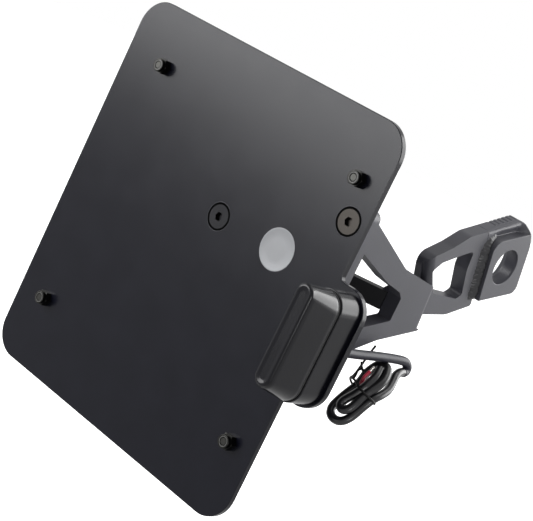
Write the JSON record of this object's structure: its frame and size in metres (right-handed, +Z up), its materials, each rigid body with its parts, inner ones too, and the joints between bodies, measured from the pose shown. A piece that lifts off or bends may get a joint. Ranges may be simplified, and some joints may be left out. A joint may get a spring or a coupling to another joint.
{
  "type": "motorbike license plate holder",
  "caption": "Side-mount license plate holder: flat base plate with an edge light, V-shaped steel bracket and a windowed arm ending in an axle bore.",
  "frame": {"origin": "on the axle bore's centre line, at the arm's back face, which seats against the bike", "axes": "+X to the right seen from behind the bike, along the bore and away from the wheel; +Y forward, from the number plate's front to its back; +Z up"},
  "size_m": [0.2022, 0.1909, 0.2],
  "materials": {
    "bracket_steel": "semi-gloss powder coat, near black with a slight grey sheen",
    "plate_steel": "satin black powder coat",
    "bright_screw": "stainless steel",
    "black_screw": "black oxide",
    "dark_screw": "dark zinc",
    "dark_nut": "dark zinc",
    "nylon": "nylon locking ring",
    "light_housing": "gloss black moulding",
    "gasket_rubber": "black foam rubber",
    "clear_lens": "clear moulded lens",
    "board": "white board",
    "led": "yellow-white diodes",
    "boot_rubber": "moulded black rubber",
    "grey_jacket": "grey cable jacket",
    "black_cable": "black cable sleeve",
    "tie": "black coated tie wire",
    "red_wire": "red wire insulation",
    "tinned_copper": "tinned strands",
    "silver_sticker": "silver foil, bare"
  },
  "bodies": {
    "root": {"arm_plate": "bracket_steel", "axle_block": "bracket_steel", "base_plate": "plate_steel", "brace_bar": "bracket_steel", "cable_boot": "boot_rubber", "flange_plate": "bracket_steel", "flange_screw_inner": "black_screw", "flange_screw_outer": "bright_screw", "id_sticker": "silver_sticker", "lead_hank": "black_cable", "lead_jacket": "grey_jacket", "lead_tail": "black_cable", "led_board": "board", "leds": "led", "light_base": "light_housing", "light_cover": "light_housing", "light_gasket": "gasket_rubber", "light_lens": "clear_lens", "light_screw_lower": "dark_screw", "light_screw_upper": "dark_screw", "lock_nut_1": "dark_nut", "lock_nut_2": "dark_nut", "lock_nut_3": "dark_nut", "lock_nut_4": "dark_nut", "nut_ring_1": "nylon", "nut_ring_2": "nylon", "nut_ring_3": "nylon", "nut_ring_4": "nylon", "plate_screw_1": "dark_screw", "plate_screw_2": "dark_screw", "plate_screw_3": "dark_screw", "plate_screw_4": "dark_screw", "side_plate": "bracket_steel", "weld_arm_lower": "bracket_steel", "weld_arm_upper": "bracket_steel", "weld_block": "bracket_steel", "weld_block_top": "bracket_steel", "weld_brace": "bracket_steel", "weld_brace_foot": "bracket_steel", "weld_side_lower": "bracket_steel", "weld_side_upper": "bracket_steel", "wire_end": "red_wire", "wire_tie": "tie", "wire_tip": "tinned_copper"}
  },
  "joints": []
}
